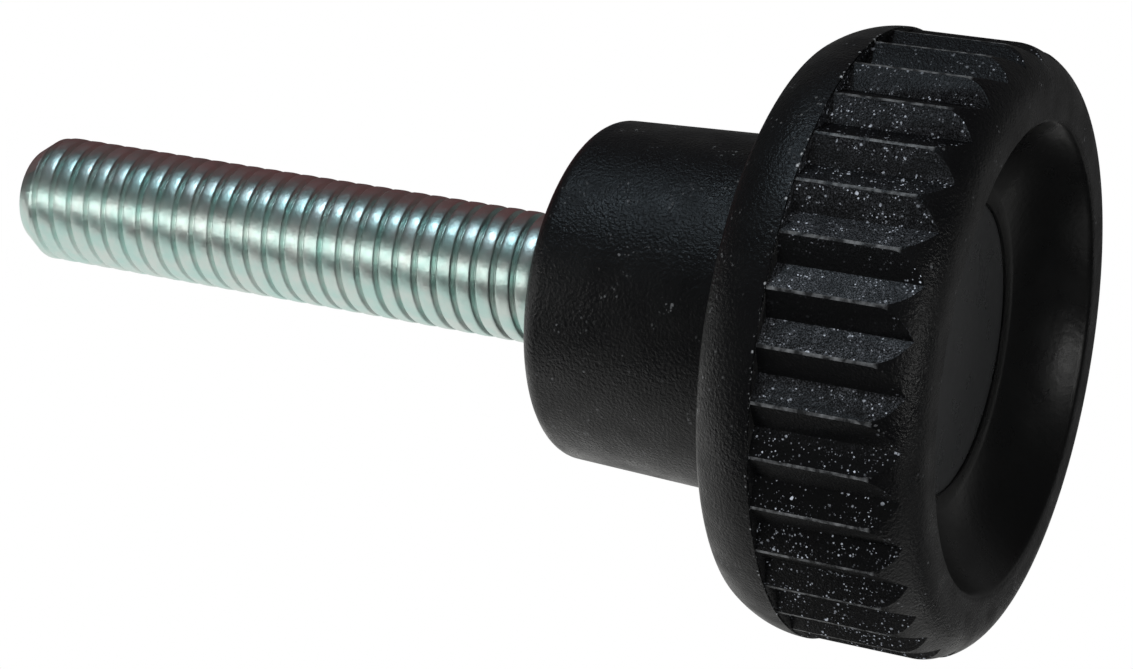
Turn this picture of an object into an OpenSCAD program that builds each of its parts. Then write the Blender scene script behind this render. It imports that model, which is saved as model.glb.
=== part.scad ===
// Knurled thumb screw: a moulded grip knob with a threaded steel stud set in it.
// It stands on the rim of its head, with the stud straight up along +Z.

/* [Head] */
// Diameter of the smooth shoulder edge, the widest part of the knob
head_d = 26.7; // [25.6:0.1:40]
// Height of the grooved band, from the rim plane to the shoulder edge
grip_h = 6.8; // [5:0.1:14]
// Rounding from the grooved band over to the flat rim
rim_r = 2.1; // [0.6:0.1:2.6]
// Height of the smooth rounded shoulder above the grooved band
shoulder_h = 2.75; // [1.5:0.05:5]
// Radius of the shoulder's crown, which starts square to the rim plane
crown_r = 4.25; // [3.2:0.05:8]
// Width of the bevel between the flat back of the head and the crown
back_bevel = 0.4; // [0.1:0.05:1]

/* [Grooves] */
// Number of V grooves round the grip
groove_n = 36; // [24:1:48]
// Depth of each groove below its crests
groove_depth = 0.62; // [0.3:0.02:1]
// Width of the plain crest left between two grooves
crest_w = 0.16; // [0.06:0.02:0.5]
// How far the shoulder edge stands proud of the crests
edge_step = 0.1; // [0.04:0.02:0.4]

/* [Hub] */
// Height of the hub above the flat back of the head
hub_h = 10.45; // [5:0.05:20]
// Diameter of the hub where it meets the head
hub_root_d = 16.1; // [15.4:0.1:19]
// Diameter of the hub where its end rounding starts
hub_end_d = 15.4; // [13:0.1:16.1]
// Rounding of the hub's end
hub_end_r = 0.9; // [0.3:0.05:2]

/* [Recess] */
// Diameter of the dished recess at its mouth, in the face of the head
recess_d = 20.5; // [16:0.1:21]
// Diameter of the recess's flat floor
floor_d = 13.6; // [8:0.1:15]
// Depth of the recess below the rim plane
recess_depth = 3; // [1:0.1:4.5]
// Radius of the dished wall, seen in section
dish_r = 7; // [5:0.1:20]
// Width of the bevel round the mouth of the recess
mouth_bevel = 0.2; // [0.1:0.05:0.4]

/* [Stud] */
// Major diameter of the thread
stud_d = 6; // [5:0.1:7]
// Length of thread that stands out of the hub
stud_len = 30; // [10:0.5:60]
// Length of the chamfer at the tip
tip_h = 1; // [0.3:0.1:2]
// Diameter of the flat at the tip
tip_d = 4.7; // [3:0.1:4.9]
// Diameter of the plain shank inside the hub
shank_d = 5.4; // [4:0.1:6]
// Height of the cone in which the thread runs out on the shank, just inside the hub
runout_h = 0.3; // [0.1:0.05:1]
// Width of the hexagonal anchor head across its flats
anchor_af = 10; // [8:0.1:11.5]
// Height of the anchor head
anchor_h = 4; // [2:0.1:4.5]
// Thickness of moulding left between the anchor head and the floor of the recess
cover_h = 3; // [1.5:0.1:4]

/* [Hidden] */
$fn = 96;
knob_h = grip_h + shoulder_h + hub_h;
back_z = grip_h + shoulder_h;
edge_r = head_d / 2;
crest_r = edge_r - edge_step;
crown = max(crown_r, shoulder_h + 0.3);
crown_cr = edge_r - crown;
crown_top_r = crown_cr + sqrt(crown * crown - shoulder_h * shoulder_h);
anchor_z = recess_depth + cover_h;
over = 1;

// Half section of the shoulder: it rises square from its edge and curves in, and
// a bevel takes off the corner where the crown would meet the flat back.
module shoulder_section() {
    lean = asin((crown_top_r - crown_cr) / crown) / 2;
    bevel_r = crown_top_r - back_bevel;
    translate([0, grip_h])
        intersection() {
            union() {
                translate([crown_cr, 0]) circle(crown);
                square([crown_cr, shoulder_h]);
            }
            polygon([
                [0, 0], [edge_r + over, 0],
                [edge_r + over, shoulder_h - (edge_r + over - bevel_r) * tan(lean)],
                [bevel_r, shoulder_h], [0, shoulder_h]
            ]);
        }
}

// Half section of the hub, with draft up to its rounded end.
module hub_section() {
    round_z = knob_h - hub_end_r;
    face_r = hub_end_d / 2 - hub_end_r;
    polygon([
        [0, back_z - over], [hub_root_d / 2, back_z - over], [hub_root_d / 2, back_z],
        [hub_end_d / 2, round_z], [0, round_z]
    ]);
    translate([0, back_z]) square([face_r, hub_h]);
    translate([0, round_z])
        intersection() {
            translate([face_r, 0]) circle(hub_end_r);
            square([edge_r, hub_end_r]);
        }
}

// Half section of the grooved band, with its rim rounded over.
module grip_section() {
    difference() {
        square([crest_r, grip_h]);
        difference() {
            translate([crest_r - rim_r, -over]) square([rim_r + over, rim_r + over]);
            translate([crest_r - rim_r, rim_r]) circle(rim_r);
            translate([crest_r - rim_r - over, rim_r]) square([rim_r + over, over]);
        }
    }
}

// Half section of the dished recess: flat floor, hollow wall, bevel at the mouth.
module recess_section() {
    mouth_r = recess_d / 2;
    floor_r = floor_d / 2;
    run = mouth_r - floor_r;
    chord = sqrt(run * run + recess_depth * recess_depth);
    dish = max(dish_r, chord * chord / 2 / min(run, recess_depth));
    // centre of the dish's arc, which passes the mouth and the floor's edge
    drop = sqrt(dish * dish - chord * chord / 4);
    dish_cr = (mouth_r + floor_r) / 2 - drop * recess_depth / chord;
    dish_cz = recess_depth / 2 - drop * run / chord;
    intersection() {
        union() {
            translate([dish_cr, dish_cz]) circle(dish, $fn = 180);
            translate([0, -over]) square([max(dish_cr, over), recess_depth + over]);
        }
        translate([0, -over]) square([edge_r, recess_depth + over]);
    }
    // the bevel's face runs on into the hollow, to half way down the wall
    mid_r = (mouth_r + floor_r) / 2;
    lip = mouth_r + mouth_bevel;
    spread = (lip - mid_r) / (recess_depth / 2);
    polygon([[0, -over], [lip + spread * over, -over], [mid_r, recess_depth / 2], [0, recess_depth / 2]]);
}

// One V groove, from the rim to the shoulder, whose step closes its end.
module groove() {
    half = crest_r * sin(180 / groove_n) - crest_w / 2;
    top = crest_r * cos(180 / groove_n);
    slope = half / (groove_depth - (crest_r - top));
    out = crest_r + 0.6;
    bottom = crest_r - groove_depth;
    wide = slope * (out - bottom);
    translate([0, 0, -over])
        linear_extrude(grip_h + over)
            polygon([[bottom, 0], [out, wide], [out, -wide]]);
}

// The steel stud: the thread with its chamfered tip, which starts at the hub's end
// face, the plain shank inside the hub, and the hexagonal head that keeps it from
// turning or pulling out of the moulding.
module stud_form() {
    tip_z = knob_h + stud_len - tip_h;
    shank_z = anchor_z + anchor_h;
    translate([0, 0, anchor_z])
        linear_extrude(anchor_h)
            circle(d = anchor_af / cos(30), $fn = 6);
    translate([0, 0, shank_z]) cylinder(h = knob_h - runout_h - shank_z, d = shank_d);
    translate([0, 0, knob_h - runout_h]) cylinder(h = runout_h, d1 = shank_d, d2 = stud_d);
    translate([0, 0, knob_h]) cylinder(h = tip_z - knob_h, d = stud_d);
    translate([0, 0, tip_z]) cylinder(h = tip_h, d1 = stud_d, d2 = tip_d);
}

module knob() {
    color([0.09, 0.09, 0.10])
        difference() {
            rotate_extrude() {
                grip_section();
                shoulder_section();
                hub_section();
            }
            rotate_extrude() recess_section();
            for (i = [0 : groove_n - 1])
                rotate([0, 0, i * 360 / groove_n]) groove();
            stud_form();
        }
}

module threaded_stud() {
    color([0.72, 0.77, 0.78]) stud_form();
}

knob();
threaded_stud();
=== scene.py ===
import math

import bpy
from mathutils import Matrix, Vector


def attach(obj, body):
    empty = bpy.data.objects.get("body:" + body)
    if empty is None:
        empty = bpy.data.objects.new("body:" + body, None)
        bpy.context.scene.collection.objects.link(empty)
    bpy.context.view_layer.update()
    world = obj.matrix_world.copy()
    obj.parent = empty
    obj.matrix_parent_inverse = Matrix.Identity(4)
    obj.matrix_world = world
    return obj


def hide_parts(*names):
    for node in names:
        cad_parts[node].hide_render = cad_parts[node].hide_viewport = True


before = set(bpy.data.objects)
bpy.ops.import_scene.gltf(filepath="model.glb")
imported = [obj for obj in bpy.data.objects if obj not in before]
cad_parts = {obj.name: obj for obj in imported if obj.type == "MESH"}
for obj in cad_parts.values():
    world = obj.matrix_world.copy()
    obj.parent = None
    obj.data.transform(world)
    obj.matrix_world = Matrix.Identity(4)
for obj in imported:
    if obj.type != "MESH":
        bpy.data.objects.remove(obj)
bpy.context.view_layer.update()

MM = 0.001
Y, Z = (0, 1, 0), (0, 0, 1)

# Sizes of the moulding in millimetres: heights from the face that it stands on, radii from the axis.
EDGE_R = 13.35
CREST_R = 13.25
GRIP_H = 6.8
RIM_R = 2.1
BACK_Z = 9.55
CROWN_R = 4.25
BACK_ROUND = 0.7
KNOB_H = 20.0
HUB_ROOT_R = 8.05
HUB_END_R = 7.7
HUB_ROUND = 0.9
MOUTH_R = 10.25
LIP_EASE = 0.2
LIP_ROUND = 0.47
FLOOR_R = 6.8
FLOOR_Z = 3.0
DISH_R = 7.0
LEDGE_R = 6.4
LEDGE_RISE = 0.13
LEDGE_EASE_R = 0.05
LEDGE_EASE_Z = 0.04
GROOVES = 36
GROOVE_DEPTH = 0.62
GROOVE_ROUND = 0.035
CREST_W = 0.16

# Sizes of the screw in millimetres, with the anchor head that the moulding hides.
STUD_R = 3.0
SHANK_R = 2.7
RUNOUT_H = 0.3
TIP_Z = 50.0
TIP_H = 1.0
TIP_R = 2.35
ANCHOR_Z = 6.0
ANCHOR_H = 4.0
ANCHOR_AF = 10.0

# The thread: its roundings in millimetres, and the angle of its flanks to the axis in degrees.
PITCH = 1.0
CREST_ROUND = 3.0
CREST_HALF = 0.27
CREST_EASE = 0.12
FLANK_LEAN = 60.0
ROOT_ROUND = 0.04

# How finely the pieces are turned, and how near two points lie, in millimetres, to be merged.
KNOB_STEPS = 360
SHANK_STEPS = 96
THREAD_STEPS = 64
MERGE = 0.002

# The grooved band: the angle in degrees from which its edges are rounded, and its limits in millimetres.
SHARP_FROM = 9
BAND_BELOW_SHOULDER = 0.02
BAND_SLACK = 0.05

# A groove's wall leads where its outward way, set against the way round the axis, is below this.
LEADING_BELOW = -0.1

# Angles in degrees below which the moulding and the screw are shaded smooth.
KNOB_SMOOTH = 32
STUD_SMOOTH = 40

# How far cutting tools and hidden parts run past what they meet, in millimetres.
OVERCUT = 1
OVERCUT_R = 0.5
TRIM_CLEAR = 0.2
TRIM_REACH = 1.3
SHANK_SINK = 1
RUNOUT_CLEAR = 0.02
CORE_CLEAR = 0.1
CORE_RISE = 0.3
CORE_TOP = 1

# Turns of thread that are made past each end and then trimmed away, and the reach of an end's loop.
SPARE_TURNS = 2
END_REACH = 1.6

# The camera: lens and sensor, where it stands, what it sees from and to, and its picture's right and up.
LENS = 94.79
SENSOR_W = 36.0
CAMERA_AT = (0.0, -122.51, -35.43)
CAMERA_NEAR = 0.005
CAMERA_FAR = 20.0
CAMERA_RIGHT = (0.16715, 0.41514, -0.89427)
CAMERA_UP = (0.98579, -0.05476, 0.15883)

# The floor's width in metres and its tone, and the tone and strength of the world's fill.
FLOOR_W = 3.0
PAPER = (0.86, 0.86, 0.86)
WHITE = (1.0, 1.0, 1.0)
FILL_TINT = (0.92, 0.96, 1.0)
FILL = 0.8

# The tent that reflections see: width and middle in metres, and each side's way, tint and strength.
TENT_W = 2.0
TENT_AT = (0.7, 0, 0)
TENT_SIDES = (
    ("front", (0, -1, 0), WHITE, 0.1),
    ("back", (0, 1, 0), WHITE, 0.1),
    ("top", (1, 0, 0), (1.0, 0.8, 0.85), 0.04),
    ("tip_side", (0, 0, 1), WHITE, 0.05),
    ("head_side", (0, 0, -1), WHITE, 0.04),
    ("below", (-1, 0, 0), WHITE, 0.03),
)

# Cards round the screw that reflections see: low and high corners in millimetres, tint and strength.
GREY = (1.0, 1.0, 0.98)
ROSE = (1.0, 0.42, 0.44)
CARDS = (
    ("along_hub", (-25.5, -18, 11), (-25, 600, 28), GREY, 0.48),
    ("along_stud", (-25.5, -25, 28), (-25, 600, 400), GREY, 0.8),
    ("above_stud", (9, -1, 24), (9.5, 40, 120), ROSE, 0.12),
    ("before_stud", (-12, -41, 37), (6, -40, 120), GREY, 0.08),
    ("strip", (-4.0, -14.5, 25), (0.6, -14, 70), GREY, 2.0),
    ("under_rim", (-25.5, -10, -9), (-25, 600, 3), GREY, 0.48),
    ("low_rim", (-25.5, -10, -30), (-25, 10, -9), GREY, 0.45),
    ("far_behind", (-300, 600, 40), (60, 601, 200), GREY, 0.5),
    ("behind_lip", (-40, 80, -95), (40, 81, -42), GREY, 0.28),
    ("over_recess", (-8, -25, -45.5), (5, -15, -45), GREY, 5.0),
)

# Disc lamps, all aimed at one point: place and width in metres, watts, tint, and whether gloss shows it.
LAMP_AIM = (0, 0, 0.015)
LAMPS = (
    ("overhead", (0.1, -0.1, 0.7), 0.4, 0.6, WHITE, False),
    ("window", (0.376, -0.21, 0.19), 0.1, 0.28, (0.7, 0.87, 1.0), True),
    ("key", (-0.01, -0.174, -0.243), 0.03, 0.014, WHITE, True),
)

# Tints of the finishes, and the specular level of the moulding.
BLACK = (0.0028, 0.0028, 0.0033)
RECESS_BLACK = (0.0028, 0.0028, 0.0028)
# The recess floor's grey is a painted sheen.
RECESS_FLOOR_SHEEN_GREY = (0.022, 0.022, 0.022)
# Pale greys painted into the moulding and the groove walls as glints, highlights and sheen.
MOULDING_GLINT_GREY = (0.5, 0.5, 0.5)
GROOVE_GLINT_GREY = (0.84, 0.87, 0.95)
ZINC = (0.6, 0.78, 0.72)
ZINC_GREEN = (0.55, 0.76, 0.71)
ZINC_PALE = (0.68, 0.77, 0.73)
SHEEN = 0.38

# Where the Mix node keeps its two colours and its mixed one.
FIRST_COLOUR, SECOND_COLOUR, MIXED_COLOUR = 6, 7, 2


# ---------------------------------------------------------------- camera

def set_camera():
    """A close camera, low beside the head, that looks along the screw."""
    cam = bpy.data.cameras.new("camera")
    cam.sensor_fit = "HORIZONTAL"
    cam.sensor_width = SENSOR_W
    cam.lens = LENS
    cam.clip_start = CAMERA_NEAR
    cam.clip_end = CAMERA_FAR
    obj = bpy.data.objects.new("camera", cam)
    bpy.context.scene.collection.objects.link(obj)
    right = Vector(CAMERA_RIGHT)
    up = Vector(CAMERA_UP)
    back = right.cross(up)
    turn = Matrix((right, up, back)).transposed().to_4x4()
    place = Matrix.Translation(Vector(CAMERA_AT) * MM)
    obj.matrix_world = place @ turn
    bpy.context.scene.camera = obj


# ---------------------------------------------------------------- drawing with the mesh tools

def deselect():
    """Leaves edit mode and clears the selection."""
    if bpy.context.object and bpy.context.object.mode != "OBJECT":
        bpy.ops.object.mode_set(mode="OBJECT")
    bpy.ops.object.select_all(action="DESELECT")


def pick(obj):
    """Makes an object the only one selected, and the active one."""
    deselect()
    obj.select_set(True)
    bpy.context.view_layer.objects.active = obj


def pull(x, y, z):
    """Extrudes what is selected by so many millimetres."""
    bpy.ops.mesh.extrude_region_move(TRANSFORM_OT_translate={"value": (x * MM, y * MM, z * MM)})


def pen_down(name, r, z):
    """Starts an outline as one vertex at radius r and height z, in the XZ plane."""
    deselect()
    bpy.ops.mesh.primitive_plane_add(size=MM)
    obj = bpy.context.object
    obj.name = name
    bpy.ops.object.mode_set(mode="EDIT")
    bpy.ops.mesh.select_mode(type="VERT")
    bpy.ops.mesh.select_all(action="SELECT")
    bpy.ops.mesh.merge(type="CENTER")
    bpy.ops.transform.translate(value=(r * MM, 0, z * MM))
    obj["pen"] = (r, z)
    return obj


def line_to(obj, r, z):
    """Extrudes the outline's last vertex straight, by the step from the last named point to this one."""
    was = obj["pen"]
    pull(r - was[0], 0, z - was[1])
    obj["pen"] = (r, z)


def arc_to(obj, r, z, centre, steps):
    """Spins the outline's last vertex round a centre, the short way, into line with a point."""
    was = obj["pen"]
    start = math.atan2(was[1] - centre[1], was[0] - centre[0])
    end = math.atan2(z - centre[1], r - centre[0])
    angle = (end - start + math.pi) % (2 * math.pi) - math.pi
    pivot = (centre[0] * MM, 0, centre[1] * MM)
    bpy.ops.mesh.spin(steps=steps, angle=angle, center=pivot, axis=Y)
    obj["pen"] = (r, z)


def turn_outline(obj, steps):
    """Spins the finished outline all the way round the screw's axis and merges its seam."""
    bpy.ops.mesh.select_all(action="SELECT")
    bpy.ops.mesh.spin(steps=steps, angle=2 * math.pi, center=(0, 0, 0), axis=Z)
    bpy.ops.mesh.select_all(action="SELECT")
    bpy.ops.mesh.remove_doubles(threshold=MERGE * MM)
    bpy.ops.mesh.normals_make_consistent(inside=False)
    bpy.ops.object.mode_set(mode="OBJECT")
    del obj["pen"]


def apply_all(obj):
    """Applies every modifier of a piece, in order."""
    bpy.context.view_layer.objects.active = obj
    for mod in list(obj.modifiers):
        bpy.ops.object.modifier_apply(modifier=mod.name)


def cut(obj, tool, operation="DIFFERENCE"):
    """Cuts, trims or joins a piece with a tool and throws the tool away."""
    deselect()
    obj.select_set(True)
    mod = obj.modifiers.new("cut", "BOOLEAN")
    mod.operation = operation
    mod.solver = "EXACT"
    mod.material_mode = "TRANSFER"
    mod.object = tool
    apply_all(obj)
    bpy.data.objects.remove(tool)


# ---------------------------------------------------------------- floor and light

def add_floor():
    """A wide sheet of paper under the screw."""
    deselect()
    bpy.ops.mesh.primitive_plane_add(size=FLOOR_W, location=(0, 0, 0))
    floor = bpy.context.object
    floor.name = "floor"
    floor.data.materials.append(floor_finish())


def combine(tree, operation, a, b):
    """A Math node on two values, each a number or a socket."""
    node = tree.nodes.new("ShaderNodeMath")
    node.operation = operation
    for socket, value in zip(node.inputs, (a, b)):
        if isinstance(value, (int, float)):
            socket.default_value = value
        else:
            tree.links.new(value, socket)
    return node.outputs[0]


def floor_finish():
    """Pale paper to an eye above it. An eye below it, and all other rays, pass through."""
    mat = bpy.data.materials.new("paper")
    mat.use_nodes = True
    tree = mat.node_tree
    tree.nodes.clear()
    paper = tree.nodes.new("ShaderNodeBsdfDiffuse")
    paper.inputs["Color"].default_value = (*PAPER, 1)
    clear = tree.nodes.new("ShaderNodeBsdfTransparent")
    path = tree.nodes.new("ShaderNodeLightPath")
    geo = tree.nodes.new("ShaderNodeNewGeometry")
    front = combine(tree, "SUBTRACT", 1.0, geo.outputs["Backfacing"])
    seen = combine(tree, "MULTIPLY", path.outputs["Is Camera Ray"], front)
    mix = tree.nodes.new("ShaderNodeMixShader")
    tree.links.new(seen, mix.inputs[0])
    tree.links.new(clear.outputs[0], mix.inputs[1])
    tree.links.new(paper.outputs[0], mix.inputs[2])
    out = tree.nodes.new("ShaderNodeOutputMaterial")
    tree.links.new(mix.outputs[0], out.inputs["Surface"])
    return mat


def set_world():
    """White to the eye and behind the tent, and a soft, slightly cool fill on the rest."""
    world = bpy.data.worlds.new("studio")
    bpy.context.scene.world = world
    world.use_nodes = True
    tree = world.node_tree
    tree.nodes.clear()
    fill = tree.nodes.new("ShaderNodeBackground")
    fill.inputs["Color"].default_value = (*FILL_TINT, 1)
    fill.inputs["Strength"].default_value = FILL
    white = tree.nodes.new("ShaderNodeBackground")
    white.inputs["Color"].default_value = (*WHITE, 1)
    white.inputs["Strength"].default_value = 1.0
    path = tree.nodes.new("ShaderNodeLightPath")
    eye_or_gloss = combine(tree, "MAXIMUM", path.outputs["Is Camera Ray"], path.outputs["Is Glossy Ray"])
    seen = combine(tree, "MAXIMUM", eye_or_gloss, path.outputs["Is Transmission Ray"])
    mix = tree.nodes.new("ShaderNodeMixShader")
    tree.links.new(seen, mix.inputs[0])
    tree.links.new(fill.outputs[0], mix.inputs[1])
    tree.links.new(white.outputs[0], mix.inputs[2])
    out = tree.nodes.new("ShaderNodeOutputWorld")
    tree.links.new(mix.outputs[0], out.inputs["Surface"])


def glow(name, colour, strength):
    """Cloth or card that shows an even tone to whatever mirrors it."""
    mat = bpy.data.materials.new(name)
    mat.use_nodes = True
    tree = mat.node_tree
    tree.nodes.clear()
    light = tree.nodes.new("ShaderNodeEmission")
    light.inputs["Color"].default_value = (*colour, 1)
    light.inputs["Strength"].default_value = strength
    out = tree.nodes.new("ShaderNodeOutputMaterial")
    tree.links.new(light.outputs[0], out.inputs["Surface"])
    return mat


def only_mirrored(obj):
    """Marks an object as studio gear that nothing but a reflection sees."""
    obj.visible_camera = False
    obj.visible_diffuse = False
    obj.visible_shadow = False
    obj.visible_transmission = False


def add_tent():
    """A dim cloth tent round the set, with each side in its own tone."""
    deselect()
    bpy.ops.mesh.primitive_cube_add(size=TENT_W, location=TENT_AT)
    tent = bpy.context.object
    tent.name = "tent"
    for name, facing, colour, strength in TENT_SIDES:
        tent.data.materials.append(glow("tent_" + name, colour, strength))
    for face in tent.data.polygons:
        lies = [face.normal.dot(Vector(side[1])) for side in TENT_SIDES]
        face.material_index = lies.index(max(lies))
    bpy.ops.object.transform_apply(location=True)
    only_mirrored(tent)


def add_cards():
    """Thin pale cards, each from a low corner to a high one."""
    for name, low, high, colour, strength in CARDS:
        deselect()
        middle = (Vector(low) + Vector(high)) / 2 * MM
        size = (Vector(high) - Vector(low)) * MM
        bpy.ops.mesh.primitive_cube_add(size=1, location=middle, scale=size)
        card = bpy.context.object
        card.name = name
        bpy.ops.object.transform_apply(location=True, scale=True)
        card.data.materials.append(glow(name, colour, strength))
        only_mirrored(card)


def add_lamps():
    """Hangs the disc lamps and turns each one to where they all aim."""
    for name, place, width, watts, colour, in_gloss in LAMPS:
        lamp = bpy.data.lights.new(name, "AREA")
        lamp.shape = "DISK"
        lamp.size = width
        lamp.energy = watts
        lamp.color = colour
        obj = bpy.data.objects.new(name, lamp)
        bpy.context.scene.collection.objects.link(obj)
        obj.location = place
        way = Vector(LAMP_AIM) - Vector(place)
        obj.rotation_euler = way.to_track_quat("-Z", "Y").to_euler()
        obj.visible_camera = False
        obj.visible_glossy = in_gloss


# ---------------------------------------------------------------- finishes

class Finish:
    """A material with one Principled shader, and short ways to add to it."""

    def __init__(self, name, colour, roughness, metallic=0.0):
        self.mat = bpy.data.materials.new(name)
        self.mat.use_nodes = True
        self.tree = self.mat.node_tree
        self.skin = self.tree.nodes["Principled BSDF"]
        self.skin.inputs["Base Color"].default_value = (*colour, 1)
        self.skin.inputs["Roughness"].default_value = roughness
        self.skin.inputs["Metallic"].default_value = metallic
        self.place = self.tree.nodes.new("ShaderNodeTexCoord").outputs["Object"]

    def link(self, a, b):
        self.tree.links.new(a, b)

    def noise(self, size_mm, detail=2.0, rough=0.5):
        """Noise whose features are about size_mm across."""
        node = self.tree.nodes.new("ShaderNodeTexNoise")
        node.inputs["Scale"].default_value = 1 / (size_mm * MM)
        node.inputs["Detail"].default_value = detail
        node.inputs["Roughness"].default_value = rough
        self.link(self.place, node.inputs["Vector"])
        return node.outputs["Fac"]

    def patches(self, size_mm, low, high, least, most, detail=3.0):
        """Noise in patches about size_mm across, its range from low to high spread from least to most."""
        return self.spread(self.noise(size_mm, detail), low, high, least, most)

    def radius(self):
        """Distance from the screw's axis."""
        flat = self.tree.nodes.new("ShaderNodeVectorMath")
        flat.operation = "MULTIPLY"
        flat.inputs[1].default_value = (1, 1, 0)
        self.link(self.place, flat.inputs[0])
        node = self.tree.nodes.new("ShaderNodeVectorMath")
        node.operation = "LENGTH"
        self.link(flat.outputs["Vector"], node.inputs[0])
        return node.outputs["Value"]

    def height(self):
        """Height above the face that the screw stands on."""
        return self.part_of_place("Z")

    def across(self):
        """Place across the screw, from low to high in the picture."""
        return self.part_of_place("X")

    def part_of_place(self, axis):
        """One coordinate of the place on the piece."""
        node = self.tree.nodes.new("ShaderNodeSeparateXYZ")
        self.link(self.place, node.inputs[0])
        return node.outputs[axis]

    def near(self, value, place_mm, full_mm, gone_mm):
        """One within full_mm of a place, falling to nothing at gone_mm."""
        off = self.math("ABSOLUTE", self.math("SUBTRACT", value, place_mm * MM), 0)
        return self.spread(off, full_mm * MM, gone_mm * MM, 1.0, 0.0)

    def glint_flecks(self, size_mm, width, bare_below):
        """Ragged pale flecks, each of its own size and tone, that the finishes paint on as glints. Cells
        of a tone below bare_below have none.
        """
        node = self.tree.nodes.new("ShaderNodeTexVoronoi")
        node.inputs["Scale"].default_value = 1 / (size_mm * MM)
        self.link(self.place, node.inputs["Vector"])
        bright = self.spread(node.outputs["Color"], bare_below, 1.0, least=0.0, most=1.0)
        ragged_mm = size_mm * 0.4
        ragged = self.patches(ragged_mm, low=0.3, high=0.7, least=-0.15, most=0.15, detail=2.0)
        reach = self.math("MULTIPLY", bright, width)
        inside = self.math("SUBTRACT", reach, self.math("ADD", node.outputs["Distance"], ragged))
        return self.math("MULTIPLY", self.spread(inside, low=-0.1, high=0.1, least=0.0, most=1.0), bright)

    def spread(self, value, low, high, least, most):
        """Spreads a value's range from low to high so that it runs from least to most."""
        node = self.tree.nodes.new("ShaderNodeMapRange")
        ends = {"From Min": low, "From Max": high, "To Min": least, "To Max": most}
        for socket, number in ends.items():
            node.inputs[socket].default_value = number
        self.link(value, node.inputs["Value"])
        return node.outputs["Result"]

    def math(self, operation, a, b):
        """A sum or the like of two values."""
        return combine(self.tree, operation, a, b)

    def mix(self, fac, first, second):
        """A colour between two, the second where the factor is one."""
        node = self.tree.nodes.new("ShaderNodeMix")
        node.data_type = "RGBA"
        self.link(fac, node.inputs["Factor"])
        node.inputs[FIRST_COLOUR].default_value = (*first, 1)
        node.inputs[SECOND_COLOUR].default_value = (*second, 1)
        return node.outputs[MIXED_COLOUR]

    def bump(self, height, depth_mm):
        """Raises the skin by a pattern, as if depth_mm deep."""
        node = self.tree.nodes.new("ShaderNodeBump")
        node.inputs["Distance"].default_value = depth_mm * MM
        self.link(height, node.inputs["Height"])
        self.link(node.outputs["Normal"], self.skin.inputs["Normal"])


def moulding_finish():
    """Black satin moulding: uneven sheen, a painted highlight along the crests, and painted glints as
    pale flecks on the parting edge and in patches.
    """
    glint_edge_z = GRIP_H + 0.02
    crests_end_z = GRIP_H - 0.01
    f = Finish("black_moulding", BLACK, roughness=0.34)
    f.skin.inputs["Specular IOR Level"].default_value = SHEEN
    f.link(f.patches(size_mm=1.6, low=0.3, high=0.7, least=0.26, most=0.46), f.skin.inputs["Roughness"])
    # Painted glints: pale flecks along the parting edge and in rare patches elsewhere.
    edge = f.math("MULTIPLY",
                  f.near(f.height(), glint_edge_z, full_mm=0.05, gone_mm=0.12),
                  f.near(f.radius(), EDGE_R, full_mm=0.1, gone_mm=0.3))
    # A painted highlight along the crests, broken into patches.
    crest = f.math("MULTIPLY",
                   f.near(f.radius(), CREST_R, full_mm=0.02, gone_mm=0.04),
                   f.math("LESS_THAN", f.height(), crests_end_z * MM))
    rare = f.patches(size_mm=1.2, low=0.57, high=0.68, least=0.0, most=0.3)
    painted_glints = f.math("MULTIPLY",
                   f.glint_flecks(size_mm=0.13, width=0.7, bare_below=0.6),
                   f.math("MAXIMUM", edge, rare))
    painted_crest_highlight = f.math("MULTIPLY", crest, f.patches(size_mm=0.4, low=0.4, high=0.7, least=0.03, most=0.36))
    f.link(f.mix(f.math("MAXIMUM", painted_glints, painted_crest_highlight), BLACK, MOULDING_GLINT_GREY), f.skin.inputs["Base Color"])
    f.bump(f.noise(size_mm=0.14, rough=0.6), depth_mm=0.05)
    return f.mat


def recess_finish(name, tint):
    """The same moulding where it is smooth, inside the recess."""
    f = Finish(name, tint, roughness=0.3)
    f.skin.inputs["Specular IOR Level"].default_value = SHEEN
    f.link(f.patches(size_mm=1.6, low=0.3, high=0.7, least=0.25, most=0.35), f.skin.inputs["Roughness"])
    f.bump(f.noise(size_mm=0.3), depth_mm=0.01)
    return f.mat


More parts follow.
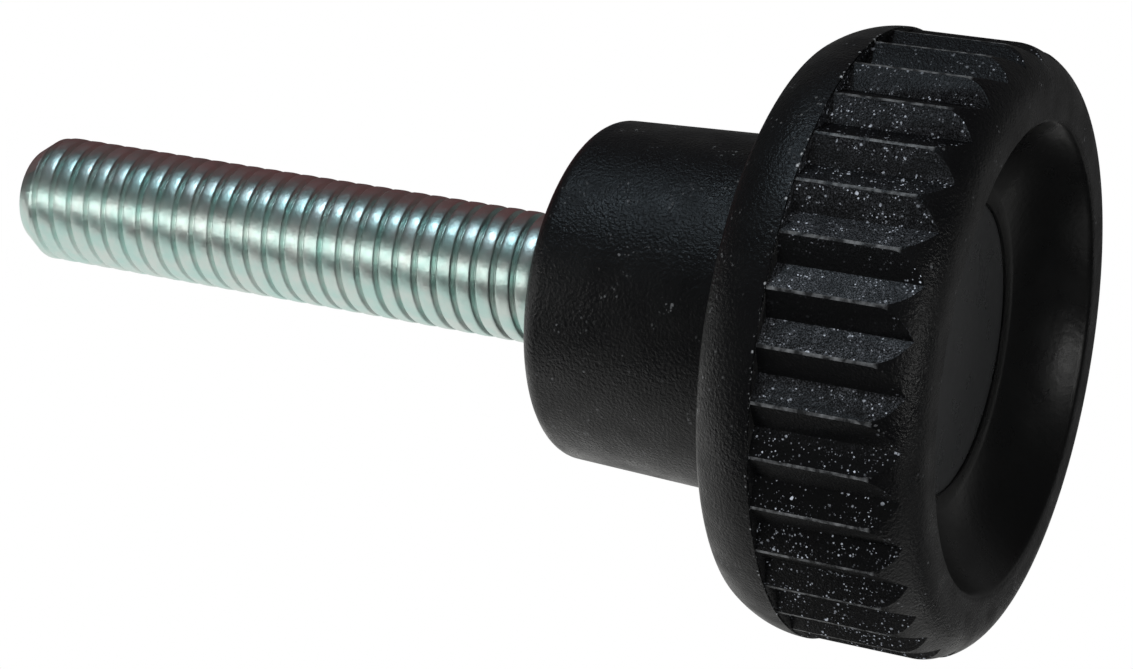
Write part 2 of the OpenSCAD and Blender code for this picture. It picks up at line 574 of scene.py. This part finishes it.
def groove_finish(name, glintless_x, glinting_x, sheen_x, sheen_tone):
    """A groove wall with pale flecks painted on as glints where the light catches it across the screw:
    none at the first place given, many from the second on, and a painted grainy sheen round the third.
    """
    full_x = 10
    faded_x = 12
    run_out_z = 0.6
    bottom_glint_share = 0.6
    f = Finish(name, BLACK, roughness=0.42)
    f.skin.inputs["Specular IOR Level"].default_value = SHEEN
    # Across the screw, the painted glints run from none to many, then fade near the top, following where
    # the light catches the wall.
    side = f.math("MULTIPLY",
                  f.spread(f.across(), glintless_x * MM, glinting_x * MM, least=0.02, most=1.0),
                  f.spread(f.across(), full_x * MM, faded_x * MM, least=1.0, most=0.1))
    patch = f.patches(size_mm=0.7, low=0.42, high=0.62, least=0.08, most=1.0)
    # Painted glints also gather along the groove bottoms and in clusters at the run-outs.
    bottom = f.near(f.radius(), CREST_R - GROOVE_DEPTH, full_mm=0.04, gone_mm=0.12)
    run_out_glints = f.math("MULTIPLY",
                     f.near(f.height(), run_out_z, full_mm=0.5, gone_mm=1.0),
                     f.patches(size_mm=1.3, low=0.45, high=0.6, least=0.1, most=1.0, detail=2.0))
    bottom_glints = f.math("MULTIPLY", bottom, f.math("MULTIPLY", side, bottom_glint_share))
    glint_amount = f.math("MAXIMUM", f.math("MULTIPLY", patch, side), f.math("MAXIMUM", bottom_glints, run_out_glints))
    coarse = f.glint_flecks(size_mm=0.15, width=0.75, bare_below=0.8)
    fine = f.glint_flecks(size_mm=0.08, width=0.7, bare_below=0.66)
    glint_flecks = f.math("MULTIPLY", f.math("MAXIMUM", coarse, fine), glint_amount)
    # A fine, bluish painted sheen, grainy, round one place across the screw.
    sheen_place = f.math("MULTIPLY", f.near(f.across(), sheen_x, full_mm=2.5, gone_mm=6), side)
    painted_sheen_grain = f.patches(size_mm=0.06, low=0.45, high=0.65, least=0.0, most=sheen_tone, detail=1.0)
    uneven = f.patches(size_mm=0.7, low=0.35, high=0.6, least=0.45, most=1.0)
    painted_sheen = f.math("MULTIPLY", painted_sheen_grain, f.math("MULTIPLY", sheen_place, uneven))
    f.link(f.mix(f.math("MAXIMUM", glint_flecks, painted_sheen), BLACK, GROOVE_GLINT_GREY), f.skin.inputs["Base Color"])
    f.bump(f.noise(size_mm=0.11, rough=0.6), depth_mm=0.04)
    return f.mat


def zinc_finish():
    """Bright zinc plate with a blue-green cast, clouded and a little uneven."""
    f = Finish("zinc_plate", ZINC, roughness=0.3, metallic=1.0)
    clouds = f.patches(size_mm=1.1, low=0.35, high=0.65, least=0.0, most=1.0)
    f.link(f.mix(clouds, ZINC_GREEN, ZINC_PALE), f.skin.inputs["Base Color"])
    f.link(f.patches(size_mm=0.5, low=0.3, high=0.7, least=0.3, most=0.4), f.skin.inputs["Roughness"])
    f.bump(f.noise(size_mm=0.25), depth_mm=0.012)
    return f.mat


# ---------------------------------------------------------------- the pieces

def back_rounding():
    """Centre of the small rounding between crown and back, and where it leaves the crown."""
    crown_cr = EDGE_R - CROWN_R
    cz = BACK_Z - GRIP_H - BACK_ROUND
    cr = crown_cr + math.sqrt((CROWN_R - BACK_ROUND) ** 2 - cz ** 2)
    reach = CROWN_R / (CROWN_R - BACK_ROUND)
    return (cr, GRIP_H + cz), (crown_cr + (cr - crown_cr) * reach, GRIP_H + cz * reach)


def model_knob():
    """The moulding's blank, turned from its outline, before the grooves and the pocket are cut."""
    bore_z = ANCHOR_Z + ANCHOR_H
    knob = pen_down("grip_knob", 0, bore_z)
    line_to(knob, SHANK_R, bore_z)
    line_to(knob, SHANK_R, KNOB_H - RUNOUT_H)
    line_to(knob, STUD_R, KNOB_H)
    line_to(knob, HUB_END_R - HUB_ROUND, KNOB_H)
    hub_centre = (HUB_END_R - HUB_ROUND, KNOB_H - HUB_ROUND)
    arc_to(knob, HUB_END_R, KNOB_H - HUB_ROUND, hub_centre, steps=10)
    line_to(knob, HUB_ROOT_R, BACK_Z)
    centre, leave = back_rounding()
    line_to(knob, centre[0], BACK_Z)
    arc_to(knob, leave[0], leave[1], centre, steps=8)
    arc_to(knob, EDGE_R, GRIP_H, (EDGE_R - CROWN_R, GRIP_H), steps=16)
    line_to(knob, CREST_R, GRIP_H)
    line_to(knob, CREST_R, RIM_R)
    arc_to(knob, CREST_R - RIM_R, 0, (CREST_R - RIM_R, RIM_R), steps=24)
    line_to(knob, MOUTH_R + LIP_EASE, 0)
    # The lip's arc ends just beside the wall's top, so what follows lies 0.045 mm low and 0.009 mm in,
    # and the floor keeps a pinhole on the axis.
    wall_top, wall_foot = on_dish(0, LIP_EASE), on_dish(FLOOR_Z - LEDGE_RISE, 0)
    arc_to(knob, *wall_top, (MOUTH_R + LIP_EASE, LIP_ROUND), steps=5)
    arc_to(knob, *wall_foot, dish_centre(), steps=24)
    line_to(knob, LEDGE_R + LEDGE_EASE_R, FLOOR_Z - LEDGE_RISE)
    line_to(knob, LEDGE_R, FLOOR_Z - LEDGE_RISE + LEDGE_EASE_Z)
    line_to(knob, LEDGE_R, FLOOR_Z)
    line_to(knob, 0, FLOOR_Z)
    turn_outline(knob, KNOB_STEPS)
    return knob


def finish_recess(knob):
    """Gives the recess its smooth finish, and its floor a greyer tone that paints on the sheen the floor
    catches.
    """
    recess_top = FLOOR_Z + 0.1
    floor_r = LEDGE_R - 0.05
    wall_slot = len(knob.data.materials)
    knob.data.materials.append(recess_finish("recess_wall", RECESS_BLACK))
    knob.data.materials.append(recess_finish("recess_floor_painted_sheen", RECESS_FLOOR_SHEEN_GREY))
    for face in knob.data.polygons:
        if face.center.z < recess_top * MM and face.center.xy.length < MOUTH_R * MM:
            on_floor = face.center.xy.length < floor_r * MM
            face.material_index = wall_slot + int(on_floor)


def dish_centre():
    """Centre of the arc of radius DISH_R from the mouth to the floor's edge."""
    run = MOUTH_R - FLOOR_R
    chord = math.hypot(run, FLOOR_Z)
    drop = math.sqrt(DISH_R ** 2 - chord ** 2 / 4)
    return (MOUTH_R + FLOOR_R) / 2 - drop * FLOOR_Z / chord, FLOOR_Z / 2 - drop * run / chord


def on_dish(z, further):
    """The recess wall's point at height z, moved on a little along the wall's arc."""
    centre = dish_centre()
    turn = math.asin((z - centre[1]) / DISH_R) + further / DISH_R
    return centre[0] + DISH_R * math.cos(turn), centre[1] + DISH_R * math.sin(turn)


def round_grooves(knob):
    """Rounds over the crests, the run-outs and the groove bottoms, and smooths the skin."""
    pick(knob)
    bpy.ops.object.mode_set(mode="EDIT")
    bpy.ops.mesh.select_mode(type="EDGE")
    bpy.ops.mesh.select_all(action="DESELECT")
    bpy.ops.mesh.edges_select_sharp(sharpness=math.radians(SHARP_FROM))
    bpy.ops.object.mode_set(mode="OBJECT")
    verts = knob.data.vertices
    for edge in knob.data.edges:
        edge.select = edge.select and all(in_grip(verts[i].co) for i in edge.vertices)
    bpy.ops.object.mode_set(mode="EDIT")
    bpy.ops.mesh.bevel(
        offset=GROOVE_ROUND * MM, segments=2, affect="EDGES", clamp_overlap=True, loop_slide=True)
    bpy.ops.object.mode_set(mode="OBJECT")
    bpy.ops.object.shade_smooth_by_angle(angle=math.radians(KNOB_SMOOTH))


def in_grip(co):
    """Whether a point lies on the grooved band, clear of the shoulder."""
    if co.z >= (GRIP_H - BAND_BELOW_SHOULDER) * MM:
        return False
    return math.hypot(co.x, co.y) > (CREST_R - GROOVE_DEPTH - BAND_SLACK) * MM


def groove_tool():
    """Wedges in one mesh, one for each groove, that reach up to the shoulder."""
    bottom = CREST_R - GROOVE_DEPTH
    half = CREST_R * math.sin(math.pi / GROOVES) - CREST_W / 2
    top = CREST_R * math.cos(math.pi / GROOVES)
    out = CREST_R + OVERCUT_R
    wide = half * (out - bottom) / (top - bottom)
    tool = pen_down("groove_tool", bottom, -OVERCUT)
    pull(out - bottom, -wide, 0)
    pull(0, 2 * wide, 0)
    bpy.ops.mesh.select_all(action="SELECT")
    bpy.ops.mesh.edge_face_add()
    pull(0, 0, GRIP_H + OVERCUT)
    bpy.ops.mesh.select_all(action="SELECT")
    bpy.ops.mesh.normals_make_consistent(inside=False)
    bpy.ops.mesh.spin(steps=GROOVES, angle=2 * math.pi, center=(0, 0, 0), axis=Z, dupli=True)
    bpy.ops.mesh.select_all(action="SELECT")
    bpy.ops.mesh.remove_doubles(threshold=MERGE * MM)
    bpy.ops.object.mode_set(mode="OBJECT")
    # Two copies of the groove finish whose painted glints and sheen fall where the light catches each
    # wall: high across the screw on the trailing walls, low on the leading walls.
    trailing = groove_finish("trailing_walls_painted_glints", glintless_x=2.5, glinting_x=5, sheen_x=7, sheen_tone=0.04)
    leading = groove_finish("leading_walls_painted_glints", glintless_x=9, glinting_x=6, sheen_x=1.0, sheen_tone=0.09)
    tool.data.materials.append(trailing)
    tool.data.materials.append(leading)
    for face in tool.data.polygons:
        way_round = Vector(Z).cross(face.center).normalized()
        face.material_index = int(face.normal.dot(way_round) < LEADING_BELOW)
    return tool


def anchor_block(name):
    """The hexagonal head that the moulding holds."""
    deselect()
    bpy.ops.mesh.primitive_cylinder_add(
        vertices=6, radius=ANCHOR_AF / math.sqrt(3) * MM, depth=ANCHOR_H * MM,
        location=(0, 0, (ANCHOR_Z + ANCHOR_H / 2) * MM), rotation=(0, 0, math.pi / 6))
    block = bpy.context.object
    block.name = name
    bpy.ops.object.transform_apply(location=True, rotation=True, scale=True)
    return block


def model_stud():
    """One pitch's section screwed up the axis and trimmed, with the shank and anchor head below it."""
    thread_z = KNOB_H - SPARE_TURNS * PITCH
    stud, root_r = thread_section(thread_z)
    bpy.ops.object.mode_set(mode="OBJECT")
    del stud["pen"]
    turns = round((TIP_Z - thread_z) / PITCH) + SPARE_TURNS
    mod = stud.modifiers.new("thread", "SCREW")
    mod.axis = "Z"
    mod.angle = 2 * math.pi
    mod.steps = mod.render_steps = THREAD_STEPS
    mod.screw_offset = PITCH * MM
    mod.iterations = turns
    apply_all(stud)
    bpy.ops.object.mode_set(mode="EDIT")
    bpy.ops.mesh.select_all(action="SELECT")
    bpy.ops.mesh.remove_doubles(threshold=MERGE * MM)
    bpy.ops.object.mode_set(mode="OBJECT")
    thread_top = thread_z + turns * PITCH
    close_thread_end(stud, thread_z, thread_z - PITCH)
    close_thread_end(stud, thread_top, thread_top + 2 * PITCH)
    cut(stud, tip_trim(), "INTERSECT")
    cut(stud, shank_core(root_r), "UNION")
    cut(stud, anchor_block("anchor"), "UNION")
    pick(stud)
    bpy.ops.object.shade_smooth_by_angle(angle=math.radians(STUD_SMOOTH))
    return stud


def tip_trim():
    """What the thread is trimmed to: a round that starts at the hub and ends in a chamfer."""
    trim = pen_down("trim", 0, KNOB_H)
    line_to(trim, STUD_R + TRIM_CLEAR, KNOB_H)
    line_to(trim, STUD_R + TRIM_CLEAR, TIP_Z - TIP_H * TRIM_REACH)
    line_to(trim, TIP_R, TIP_Z)
    line_to(trim, 0, TIP_Z)
    turn_outline(trim, SHANK_STEPS)
    return trim


def shank_core(root_r):
    """The plain shank with its run-out cone, and a core that reaches up inside the thread."""
    shank = pen_down("shank", 0, ANCHOR_Z + SHANK_SINK)
    line_to(shank, SHANK_R, ANCHOR_Z + SHANK_SINK)
    line_to(shank, SHANK_R, KNOB_H - RUNOUT_H)
    line_to(shank, STUD_R - RUNOUT_CLEAR, KNOB_H)
    line_to(shank, root_r - CORE_CLEAR, KNOB_H + CORE_RISE)
    line_to(shank, 0, KNOB_H + CORE_TOP)
    turn_outline(shank, SHANK_STEPS)
    return shank


def thread_section(z):
    """One pitch of the thread from root to root: a broad, eased crest between narrow, shallow roots."""
    lean = math.radians(FLANK_LEAN)
    mid = z + PITCH / 2
    crest_mid_r = STUD_R - CREST_ROUND
    ease_mid_r = STUD_R - CREST_ROUND + math.sqrt((CREST_ROUND - CREST_EASE) ** 2 - CREST_HALF ** 2)
    reach = CREST_ROUND / (CREST_ROUND - CREST_EASE)
    join = (STUD_R - CREST_ROUND + (ease_mid_r - STUD_R + CREST_ROUND) * reach, CREST_HALF * reach)
    flank = (ease_mid_r + CREST_EASE * math.cos(lean), CREST_HALF + CREST_EASE * math.sin(lean))
    root_edge_z = ROOT_ROUND * math.sin(lean)
    root_edge_r = flank[0] - (PITCH / 2 - flank[1] - root_edge_z) * math.tan(lean)
    root_mid_r = root_edge_r + ROOT_ROUND * math.cos(lean)
    root_r = root_mid_r - ROOT_ROUND
    stud = pen_down("stud", root_r, z)
    arc_to(stud, root_edge_r, z + root_edge_z, (root_mid_r, z), steps=2)
    line_to(stud, flank[0], mid - flank[1])
    arc_to(stud, join[0], mid - join[1], (ease_mid_r, mid - CREST_HALF), steps=3)
    arc_to(stud, join[0], mid + join[1], (crest_mid_r, mid), steps=4)
    arc_to(stud, flank[0], mid + flank[1], (ease_mid_r, mid + CREST_HALF), steps=3)
    line_to(stud, root_edge_r, z + PITCH - root_edge_z)
    arc_to(stud, root_r, z + PITCH, (root_mid_r, z + PITCH), steps=2)
    return stud, root_r


def close_thread_end(stud, end_z, apex_z):
    """Draws the open loop at one end of the thread in to a point on the axis."""
    pick(stud)
    bpy.ops.object.mode_set(mode="EDIT")
    bpy.ops.mesh.select_mode(type="EDGE")
    bpy.ops.mesh.select_all(action="DESELECT")
    bpy.ops.mesh.select_non_manifold()
    bpy.ops.object.mode_set(mode="OBJECT")
    verts = stud.data.vertices
    at_end = [abs(vert.co.z / MM - end_z) < END_REACH for vert in verts]
    for vert in verts:
        vert.select = False
    for edge in stud.data.edges:
        edge.select = edge.select and all(at_end[i] for i in edge.vertices)
        if edge.select:
            for i in edge.vertices:
                verts[i].select = True
    bpy.ops.object.mode_set(mode="EDIT")
    pull(0, 0, 0)
    bpy.ops.transform.resize(value=(0, 0, 0), center_override=(0, 0, apex_z * MM))
    bpy.ops.mesh.merge(type="COLLAPSE")
    bpy.ops.mesh.select_all(action="SELECT")
    bpy.ops.mesh.normals_make_consistent(inside=False)
    bpy.ops.object.mode_set(mode="OBJECT")


bpy.context.scene.view_settings.view_transform = "Standard"
set_camera()
set_world()
add_floor()
add_tent()
add_cards()
add_lamps()

knob = model_knob()
knob.data.materials.append(moulding_finish())
cut(knob, groove_tool())
round_grooves(knob)
cut(knob, anchor_block("pocket"))
finish_recess(knob)
stud = model_stud()
stud.data.materials.clear()
stud.data.materials.append(zinc_finish())
for piece, node, slot in ((knob, "knob", "moulding"), (stud, "threaded_stud", "plated_steel")):
    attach(piece, "root")
    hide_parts(node)
